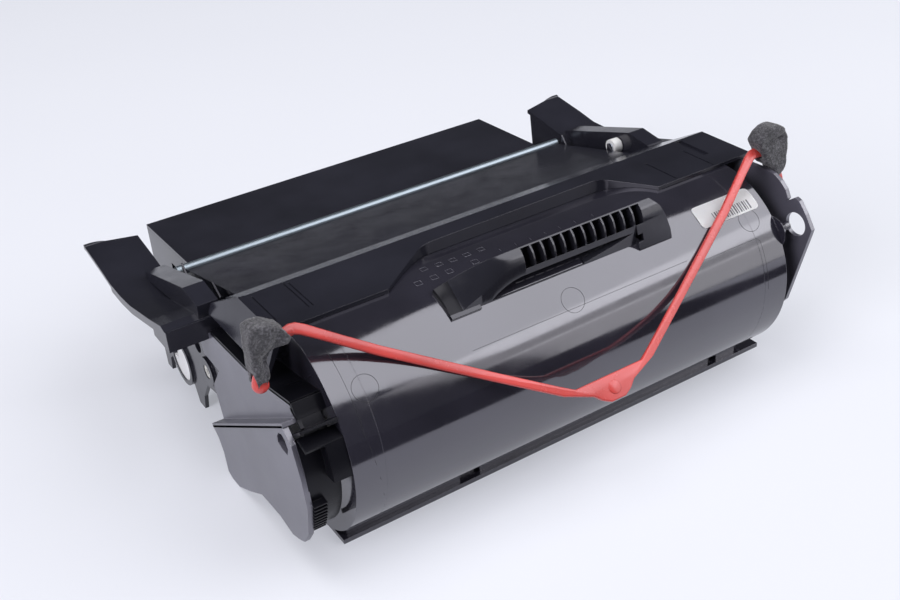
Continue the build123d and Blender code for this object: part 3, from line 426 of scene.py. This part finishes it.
def carry_handle():
    """Grip over a finger gap, whose left leg sweeps down to a foot on the hopper."""
    rings = [grip_ring(*s) for s in STATIONS]
    skins = [rings[0]]
    for i in range(CURVED):
        four = [rings[min(max(j, 0), CURVED)] for j in range(i - 1, i + 3)]
        for k in range(1, CURVE_PARTS + 1):
            skins.append([between(*points, k / CURVE_PARTS) for points in zip(*four)])
    body = solid(loft, skins + [rings[-1]])

    # Unit vector up the sloping face, along which the slots are cut
    run = (GRIP_CREST[0] - GRIP_EDGE[0], GRIP_CREST[1] - GRIP_EDGE[1])
    uy, uz = run[0] / math.hypot(*run), run[1] / math.hypot(*run)
    low = (GRIP_EDGE[0] - SLOT_RIM * uy, GRIP_EDGE[1] - SLOT_RIM * uz)
    high = (GRIP_CREST[0] - SLOT_RIM * uy, GRIP_CREST[1] - SLOT_RIM * uz)
    corners = ((low, -SLOT_OVER), (low, SLOT_LOW_DEPTH), (high, SLOT_HIGH_DEPTH), (high, -SLOT_OVER))
    outline = [(y + uz * d, z - uy * d) for (y, z), d in corners]
    pitch = (SLOT_LAST - SLOT_FIRST) / SLOTS
    slots = bmesh.new()
    for i in range(SLOTS):
        prism(slots, outline, SLOT_FIRST + i * pitch, SLOT_FIRST + (i + 1) * pitch - SLOT_WALL)
    prism(slots, NOTCH, *NOTCH_X)

    steps = [
        (solid(prism, BRACE, *BRACE_X), "UNION"),
        (solid(plate, END_CUT, CUT_FRONT, CUT_BACK), "DIFFERENCE"),
        (solid(plate, FINGER_GAP, GRIP_FRONT - 2, CUT_BACK, GAP_RISE), "DIFFERENCE"),
        (solid(prism, SILL, *SILL_X), "UNION"),
        (solid(prism, FOOT, *FOOT_X), "UNION"),
        (finished(slots, "slots"), "DIFFERENCE"),
        (solid(prism, circle(SEAT_R), *SEAT_X), "DIFFERENCE"),
    ]
    for other, operation in steps:
        body = combined(body, other, operation)
    crisp(body, 28)

    # Walls of the slots and the foot's end are painted in shade: a darker, duller material than the grip
    body.materials.clear()
    body.materials.append(GRIP)
    body.materials.append(SHADE_BLACK)
    for polygon in body.polygons:
        c = polygon.center * 1000 - at(0, 0, 0) * 1000
        depth = (c.y - GRIP_EDGE[0]) * uz - (c.z - GRIP_EDGE[1]) * uy
        slotted = SLOT_FIRST - 0.1 < c.x < SLOT_LAST + 0.1 and c.y > GRIP_FRONT + 0.4
        polygon.material_index = int(slotted and 0.5 < depth < SLOT_LOW_DEPTH + 0.2 or c.x < FOOT_SHADE_X)
    piece = place("grip_handle", body, GRIP, "black_plastic")
    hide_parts("carry_handle")


carry_handle()


# Transport lock: a flat V in a plane that leans against the hopper, hooked down at both ends
LEAN = math.radians(38.5)
STRAP_IN = HOPPER_R + 0.4
STRAP_OUT = HOPPER_R + 2.9
STRAP_HALF = [(4.2, -48.0), (8.6, -45.6), (12.0, -42.4), (27, -36.4), (79.9, -2.2), (104.3, 13.8),
              (125.8, 29.4), (133.5, 34.6), (137.5, 36.2), (141.5, 36.6), (145.0, 36.4), (144.6, 38.6),
              (141.0, 39.8), (137.2, 40.8), (133.9, 40.4), (130.0, 38.2), (116.8, 28.4), (101.5, 17.4),
              (77.6, 1.6), (52.8, -14.8), (26.7, -31.6), (20.0, -35.6)]
STRAP_EDGE = 0.7
BOSS_HEIGHT = -42.0
BOSS = [(3.3, STRAP_OUT - 0.5), (3.3, STRAP_OUT + 0.15), (3.0, STRAP_OUT + 0.3)]
HOOK_LINE = [(136, -19.5, 63.6), (144, -19.5, 63.4), (150.0, -19.5, 60.4), (152.4, -19.5, 54.5),
             (153.6, -19.5, 47.0)]
HOOK_RADII = (2.2, 2.4, 2.4, 2.3, 2.2)
HOOK_HOLE_RADII = (2.9, 3.1, 3.1, 3.0, 2.9)
KNOB = (154.4, -20.2, 43.6)
KNOB_SIZE = (3.9, 8.2)
KNOB_HOLE_SIZE = (4.6, 9.2)


def leaning(x, height, out):
    """A point of the lock's plane: height is measured up the plane, out away from the hopper's axis."""
    y = -math.cos(LEAN) * out + math.sin(LEAN) * height
    z = math.sin(LEAN) * out + math.cos(LEAN) * height
    return at(x, y, z)


def hook_line(side):
    return [at(side * x, y, z) for x, y, z in HOOK_LINE]


def knob_centre(side):
    return at(side * KNOB[0], KNOB[1], KNOB[2])


def transport_lock():
    """Removable red strap with a round boss at its nose and a knob at the end of each hook."""
    outline = STRAP_HALF + [(-x, h) for x, h in reversed(STRAP_HALF)]
    shape = loose(solid(loft, [[leaning(x, h, out) for x, h in outline] for out in (STRAP_IN, STRAP_OUT)]))
    edge = shape.modifiers.new("edge", "BEVEL")
    edge.width = STRAP_EDGE / 1000
    edge.segments = 3
    edge.limit_method = "ANGLE"
    edge.angle_limit = math.radians(50)
    bm = bmesh.new()
    bm.from_mesh(baked(shape))
    loft(bm, [[leaning(x, h + BOSS_HEIGHT, out) for x, h in circle(r, 40)] for r, out in BOSS])
    for side in (-1, 1):
        tube(bm, hook_line(side), HOOK_RADII)
        egg(bm, knob_centre(side), *KNOB_SIZE)
    mesh = finished(bm, "lock_strap")
    crisp(mesh, 40)
    piece = place("lock_strap", mesh, RED, "red_plastic")
    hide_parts("transport_lock")


transport_lock()


# Foam pads. A dent is a start, an end, a width and a depth: it is pressed along a line
PAD_LEFT = [(137.6, 63.4), (141.6, 69.2), (147.3, 72.8), (152.8, 74.0), (156.6, 72.6), (157.8, 64.5),
            (157.2, 42.6), (153.8, 42.0), (150.4, 47.0), (149.6, 57.0), (147.0, 60.0), (139.6, 60.2)]
PAD_LEFT_Y = (-24.5, -13.0)
DENTS_LEFT = [((-144, -25, 65), (-151, -25, 57), 2.6, 1.5), ((-151, -25, 57), (-153, -25, 47), 2.0, 1.0)]
PAD_RIGHT = [(134.4, 72.2), (137.4, 75.6), (142.6, 78.8), (148.6, 78.6), (153.4, 75.9), (156.3, 71.3),
             (157.2, 56.6), (155.6, 50.6), (151.6, 48.0), (147.6, 49.4), (147.2, 55.2), (141.4, 57.2),
             (138.4, 63.8)]
PAD_RIGHT_Y = (-25.5, -15.0)
DENTS_RIGHT = [((140, -26, 70.5), (150, -26, 70.5), 2.4, 1.5), ((150, -26, 70.5), (158, -26, 75), 2.2, 1.0)]
PAD_VOXEL = 0.6
PAD_SMOOTHING = 34      # rounds of smoothing
PAD_SMOOTH_STEP = 0.6
PAD_SHRINK = 0.10
PAD_LUMPS = ((0.16, 0.5), (0.9, 0.18), (2.6, 0.12))     # scale and height of each size of lump
PAD_SWELL = 0.25        # no point is pushed out further than this


def foam_pad(node, name, side, outline, y_range, dents):
    """Pad from an outline in the X-Z plane: hollowed for the hook, remeshed, rounded off and roughened."""
    mesh = solid(plate, [(side * x, z) for x, z in outline], *y_range)
    mesh = combined(mesh, solid(tube, hook_line(side), HOOK_HOLE_RADII), "DIFFERENCE")
    shape = loose(combined(mesh, solid(egg, knob_centre(side), *KNOB_HOLE_SIZE), "DIFFERENCE"))
    remesh = shape.modifiers.new("remesh", "REMESH")
    remesh.mode = "VOXEL"
    remesh.voxel_size = PAD_VOXEL / 1000
    smooth = shape.modifiers.new("smooth", "SMOOTH")
    smooth.factor = PAD_SMOOTH_STEP
    smooth.iterations = PAD_SMOOTHING
    mesh = baked(shape)
    mesh.name = name
    moved = []
    for v in mesh.vertices:
        p = v.co * 1000
        push = -PAD_SHRINK
        for scale, height in PAD_LUMPS:
            push += height * noise.noise(p * scale)
        for start, end, width, depth in dents:
            a = at(*start) * 1000
            b = at(*end) * 1000
            t = max(0.0, min(1.0, (p - a).dot(b - a) / (b - a).length_squared))
            push -= depth * math.exp(-((p - (a + (b - a) * t)).length / width) ** 2)
        moved.append(v.co + Vector(v.normal) * min(push, PAD_SWELL) / 1000)
    for v, co in zip(mesh.vertices, moved):
        v.co = co
    for polygon in mesh.polygons:
        polygon.use_smooth = True
    mesh.materials.clear()
    piece = place(name, mesh, FOAM, "felt")
    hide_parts(node)


foam_pad("foam_pad_left", "felt_left", -1, PAD_LEFT, PAD_LEFT_Y, DENTS_LEFT)
foam_pad("foam_pad_right", "felt_right", 1, PAD_RIGHT, PAD_RIGHT_Y, DENTS_RIGHT)


# Left side cover: a fin that stands out, an upper panel set in, and a deep open pocket at the front
SHADE_SLOT = 1              # index of the cover's second material, darker as painted shade
FIN_OUT = -153.0
FIN_T = 2.6
PANEL_OUT = -146.5
PANEL_T = 2.2
ROOF_T = 2.0
BAR_OUT = -150.2
CAP_OUT = -132.0
FIN = [(66, -31), (60, -35.5), (56.5, -42.4), (55, -54), (50, -56), (41.8, -55.6), (26.6, -48.3),
       (9.2, -38.6), (-11, -37.5), (-24, -39.8), (-32.5, -37), (-37.5, -34.5), (-43.7, -26), (-47.6, -8.2),
       (-45.6, 6.3), (-40.5, 22), (-33, 28.5)]
FOLD_END = (-34, 29.2)
PANEL = [(66, -31), (71, -10.6), (58.4, 4.4), (77, 5.4), (79.2, 15.2), (60.2, 26.2), (52.7, 26.6),
         (17.6, 27.9), (-9.4, 31.7), (-30.5, 35.8), (-34.5, 29.6)]
PANEL_ROOF = 5          # the roof follows the panel's outline from this point on
LENS = [(-25.7, 18.6), (-27.6, 21.5), (-31.0, 23.0), (-34.4, 21.3), (-36.1, 17.5), (-34.5, 13.7),
        (-30.1, 13.7), (-25.6, 15.3)]
WALL_R = (44.3, 46.5)
WALL_ANGLES = (-52, 31, 50)     # the wall's lower part stands out further than its upper part
STOP = sector(46.5, 53.4, 4.5, 25, 8)
RIBS = 9
RIB_FIRST = -9.0
RIB_PITCH = 2.6
RIB_R = (46.3, 50.2)
TRAY_BARS = [((-45.6, 30.6), (-34.6, 22.6)), ((-40.8, 24.0), (-48.4, 21.8))]
TRAY_T = 1.4
STAY = ((-29.7, 33.2), (-38.3, 26.6))
STAY_T = 1.6


def side_cover():
    lens = solid(prism, LENS, FIN_OUT - 1, FIN_OUT + 4)
    bm = bmesh.new()
    bm.from_mesh(combined(solid(prism, FIN, FIN_OUT, FIN_OUT + FIN_T), lens, "DIFFERENCE"))
    prism(bm, PANEL, PANEL_OUT, PANEL_OUT + PANEL_T)
    bar(bm, FIN[0], FOLD_END, PANEL_T, FIN_OUT, PANEL_OUT + PANEL_T)
    # The pocket's roof, walls, stop, ribs, tray bars and stay take the painted-shade material
    for start, end in zip(PANEL[PANEL_ROOF:-1], PANEL[PANEL_ROOF + 1:]):
        bar(bm, start, end, ROOF_T, PANEL_OUT, CAP_OUT, SHADE_SLOT)
    bottom, middle, top = WALL_ANGLES
    prism(bm, sector(*WALL_R, bottom, middle, 30), FIN_OUT + 2.2, CAP_OUT - 3, SHADE_SLOT)
    prism(bm, sector(*WALL_R, middle, top, 8), PANEL_OUT + 0.4, CAP_OUT - 3, SHADE_SLOT)
    prism(bm, STOP, CAP_OUT - 9, CAP_OUT, SHADE_SLOT)
    for k in range(RIBS):
        angle = RIB_FIRST - RIB_PITCH * k
        prism(bm, sector(*RIB_R, angle, angle + 0.8, 2), FIN_OUT + 2.4, FIN_OUT + 9, SHADE_SLOT)
    for start, end in TRAY_BARS:
        bar(bm, start, end, TRAY_T, BAR_OUT, CAP_OUT, SHADE_SLOT)
    bar(bm, *STAY, STAY_T, PANEL_OUT, PANEL_OUT + STAY_T, SHADE_SLOT)
    mesh = finished(bm, "gear_cover")
    crisp(mesh, 25)
    mesh.materials.append(SIDE)
    mesh.materials.append(SHADE_BLACK)
    piece = place("gear_cover", mesh, SIDE, "black_plastic")
    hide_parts("side_cover_left")


side_cover()


# Tie rod: seated against the deck's rear edge, so that its bright top shows over it
ROD_Y = 146.2
ROD_Z = 16.8
ROD_R = 2.8
ROD_HALF = 131.5


def tie_rod():
    mesh = solid(prism, [(ROD_Y + y, ROD_Z + z) for y, z in circle(ROD_R, 40)], -ROD_HALF, ROD_HALF)
    crisp(mesh, 40)
    piece = place("bright_rod", mesh, ROD, "steel")
    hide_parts("tie_rod")


tie_rod()


# Marks on the hopper's skin
def skin(x, angle, lift=0.0):
    """A point on the hopper, at an angle measured from the front towards up, lifted off the skin."""
    r = HOPPER_R + lift
    return at(x, -r * math.cos(math.radians(angle)), r * math.sin(math.radians(angle)))


def thread(name, points, radius, material, closed=False):
    """A fine round line that follows points."""
    curve = bpy.data.curves.new(name, "CURVE")
    curve.dimensions = "3D"
    curve.bevel_depth = radius / 1000
    curve.bevel_resolution = 2
    spline = curve.splines.new("POLY")
    spline.points.add(len(points) - 1)
    for target, p in zip(spline.points, points):
        target.co = (*p, 1)
    spline.use_cyclic_u = closed
    place(name, curve, material, "black_plastic")


SEAM_R = 0.09
RING_LINE_R = 0.10
RINGS = [(-0.5, 42.2), (-115.0, 41.6), (117.2, 45.6)]
RING_RADIUS = 6.3
PARTING_ANGLE = 38.1
for i, (x, angle) in enumerate(RINGS):
    points = [skin(x + dx, angle + math.degrees(rise / HOPPER_R)) for dx, rise in circle(RING_RADIUS, 48)]
    thread("ejector_ring_%d" % i, points, RING_LINE_R, SEAM, closed=True)
thread("parting_line", [skin(x, PARTING_ANGLE) for x in range(-60, 75, 5)], SEAM_R, SEAM)
QUARTER = [math.radians(t) for t in range(0, 91, 15)]
BEND = [(115.3 + 3.0 * math.sin(t), 31.6 + 3.2 * math.cos(t)) for t in QUARTER]
thread("inset_edge", [skin(x, 34.8) for x in range(77, 116, 6)] + [skin(*p) for p in BEND]
       + [skin(118.3, a) for a in range(28, 3, -4)], SEAM_R, SEAM)
LEFT_EDGE = [(-122.8, a) for a in range(66, 20, -4)]
LEFT_EDGE += [(-121.6, 14), (-120.6, 6), (-119.2, -4), (-117.6, -16), (-116, -28)]
thread("cap_edge_left", [skin(*p) for p in LEFT_EDGE], RING_LINE_R, SEAM)


# Blank label with a plain row of bars
LABEL_X = (88.3, 127.7)
LABEL_ANGLES = (50.2, 64.2)
LABEL_CORNER = 2.6
LABEL_LIFT = 0.24
LABEL_T = 0.18
LABEL_COLUMNS = 12
LABEL_ROWS = 10
BARS = 16
BARS_X = 98.0
BARS_PITCH = 1.6
BARS_WIDE = (0.5, 0.9)
BARS_ANGLES = [51.4 + 0.95 * k for k in range(7)]
BARS_LIFT = 0.275


def label():
    """Sheet with rounded corners that follows the hopper."""
    x0, x1 = LABEL_X
    low, high = LABEL_ANGLES
    bm = bmesh.new()
    columns = []
    steps = [LABEL_CORNER * (1 - math.cos(t)) for t in QUARTER]
    pitch = (x1 - x0 - 2 * LABEL_CORNER) / LABEL_COLUMNS
    xs = [x0 + s for s in steps] + [x0 + LABEL_CORNER + k * pitch for k in range(1, LABEL_COLUMNS)]
    xs += [x1 - s for s in reversed(steps)]
    for x in xs:
        inset = max(0.0, LABEL_CORNER - min(x - x0, x1 - x))
        cut = LABEL_CORNER - math.sqrt(max(0.0, LABEL_CORNER ** 2 - inset ** 2))
        trim = math.degrees(cut / HOPPER_R)
        rows = [low + trim + k * (high - low - 2 * trim) / LABEL_ROWS for k in range(LABEL_ROWS + 1)]
        columns.append([bm.verts.new(skin(x, a, LABEL_LIFT)) for a in rows])
    for left, right in zip(columns, columns[1:]):
        for k in range(LABEL_ROWS):
            bm.faces.new((left[k], left[k + 1], right[k + 1], right[k]))
    # The normals aren't updated before this call, so it doubles the sheet but gives it no thickness
    bmesh.ops.solidify(bm, geom=bm.faces[:], thickness=LABEL_T / 1000)
    piece = place("blank_label", finished(bm, "blank_label"), PAPER, "label_paper")
    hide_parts("label")


def bars():
    """Even bars that stand for the print without coding anything."""
    bm = bmesh.new()
    for i in range(BARS):
        x = BARS_X + BARS_PITCH * i
        wide = BARS_WIDE[i % 2]
        rows = [[bm.verts.new(skin(q, a, BARS_LIFT)) for q in (x, x + wide)] for a in BARS_ANGLES]
        for low, high in zip(rows, rows[1:]):
            bm.faces.new((low[0], low[1], high[1], high[0]))
    mesh = bpy.data.meshes.new("label_bars")
    bm.to_mesh(mesh)
    bm.free()
    place("label_bars", mesh, INK, "label_paper")


label()
bars()


# Faint moulded marks behind the grip: open squares and short ticks
SQUARES = [(-64.5, 84.1), (-55.7, 84.1), (-55.7, 94.2), (-47.0, 84.3), (-47.5, 93.4), (-40.1, 92.5),
           (-32.5, 84.1), (-32.0, 92.6), (-23.7, 92.7)]
SQUARE_HALF = 1.7
TICKS = (-16.8, -7.6, 1.1, 10.4, 19.4, 29.0, 40.3)
TICK_ANGLES = (84.2, 85.5, 86.8)
MARK_LIFT = 0.05
MARK_R = 0.12
for i, (x, a) in enumerate(SQUARES):
    signs = ((-1, -1), (1, -1), (1, 1), (-1, 1))
    points = [skin(x + u * SQUARE_HALF, a + v * SQUARE_HALF, MARK_LIFT) for u, v in signs]
    thread("square_mark_%d" % i, points, MARK_R, SIDE, closed=True)
for i, x in enumerate(TICKS):
    thread("tick_mark_%d" % i, [skin(x, a, MARK_LIFT) for a in TICK_ANGLES], MARK_R, SIDE)


# Studio
scene = bpy.context.scene
scene.view_settings.view_transform = "Standard"

# The camera was solved from the hopper's cylinder in the photo
CAMERA_AT = at(-296.30, -421.36, 331.68)
CAMERA_FORWARD = (0.43842, 0.73432, -0.51823)
CAMERA_UP = (0.3293, 0.4053, 0.8528)
cam = bpy.data.objects.new("camera", bpy.data.cameras.new("camera"))
scene.collection.objects.link(cam)
forward = Vector(CAMERA_FORWARD).normalized()
right = forward.cross(Vector(CAMERA_UP)).normalized()
up = right.cross(forward)
turn = Matrix((right, up, -forward)).transposed().to_4x4()
cam.matrix_world = Matrix.Translation(CAMERA_AT) @ turn
cam.data.sensor_width = 36.0
cam.data.lens = 47.215
cam.data.clip_start = 0.01
scene.camera = cam

# Pale floor: it keeps the shadow, and its glow shows only to the eye and in reflections
FLOOR_GLOW = 0.40
FLOOR_R = 4.0           # metres
floor_mesh = bpy.data.meshes.new("floor")
bm = bmesh.new()
bmesh.ops.create_circle(bm, cap_ends=True, segments=96, radius=FLOOR_R)
bm.to_mesh(floor_mesh)
bm.free()
floor = bpy.data.objects.new("floor", floor_mesh)
scene.collection.objects.link(floor)
m = Maker("floor")
m.link(m.blend(m.noise(3.0, 2.0), (0.44, 0.445, 0.475), (0.45, 0.455, 0.485)), m.bsdf.inputs["Base Color"])
m.bsdf.inputs["Roughness"].default_value = 0.9
m.bsdf.inputs["Specular IOR Level"].default_value = 0.0
m.bsdf.inputs["Emission Color"].default_value = (0.83, 0.85, 0.93, 1)
path = m.node("ShaderNodeLightPath")
shown = m.greater(path.outputs["Is Camera Ray"], path.outputs["Is Glossy Ray"])
level = m.node("ShaderNodeMath", operation="MULTIPLY")
level.inputs[1].default_value = FLOOR_GLOW
m.link(m.greater(shown, path.outputs["Is Transmission Ray"]), level.inputs[0])
m.link(level.outputs[0], m.bsdf.inputs["Emission Strength"])
floor_mesh.materials.append(m.mat)

world = bpy.data.worlds.new("studio")
world.use_nodes = True
scene.world = world
world.node_tree.nodes["Background"].inputs["Color"].default_value = (0.30, 0.31, 0.34, 1)
world.node_tree.nodes["Background"].inputs["Strength"].default_value = 0.15


def softbox(name, direction, distance, size, power, colour=(1, 1, 1)):
    """Rectangular lamp that looks at the origin from a direction."""
    data = bpy.data.lights.new(name, "AREA")
    data.shape = "RECTANGLE"
    data.size, data.size_y = size
    data.energy = power
    data.color = colour
    lamp = bpy.data.objects.new(name, data)
    scene.collection.objects.link(lamp)
    d = Vector(direction).normalized()
    lamp.location = d * distance
    lamp.rotation_euler = (-d).to_track_quat("-Z", "Y").to_euler()
    lamp.visible_camera = False


softbox("key", (0.50, -0.40, 0.77), 3.3, (2.8, 3.2), 85.0, (0.97, 0.98, 1.0))
softbox("top", (-0.25, 0.10, 1.0), 3.2, (1.8, 1.8), 46.0)
softbox("side", (-0.85, -0.25, 0.50), 3.0, (1.5, 1.5), 58.0, (0.95, 0.94, 1.0))
softbox("front_low", (0.790, -0.590, 0.170), 2.2, (2.15, 0.66), 7.8)
softbox("front_high", (0.709, -0.554, 0.435), 2.2, (2.25, 0.70), 6.5)

# Painted reflection: a dark sheet on the floor in front of the cartridge, hidden from the eye and seen only
# in the plastic's gloss. Metres
DARK_REFLECTION = [(-3, -0.275), (1.2, -0.275), (1.2, -0.46), (0.40, -0.46), (2.2, -3.6), (-3, -3.6)]
DARK_REFLECTION_Z = 0.001
reflection_sheet = bmesh.new()
reflection_sheet.faces.new([reflection_sheet.verts.new((x, y, DARK_REFLECTION_Z)) for x, y in DARK_REFLECTION])
reflection_mesh = finished(reflection_sheet, "painted_dark_reflection")
c = Maker("painted_dark_reflection")
c.link(c.blend(c.noise(40.0), (0.01, 0.01, 0.012), (0.014, 0.014, 0.016)), c.bsdf.inputs["Base Color"])
c.bsdf.inputs["Specular IOR Level"].default_value = 0.0
reflection_mesh.materials.append(c.mat)
dark = bpy.data.objects.new("painted_dark_reflection", reflection_mesh)
scene.collection.objects.link(dark)
dark.visible_camera = False
dark.visible_diffuse = False
dark.visible_shadow = False
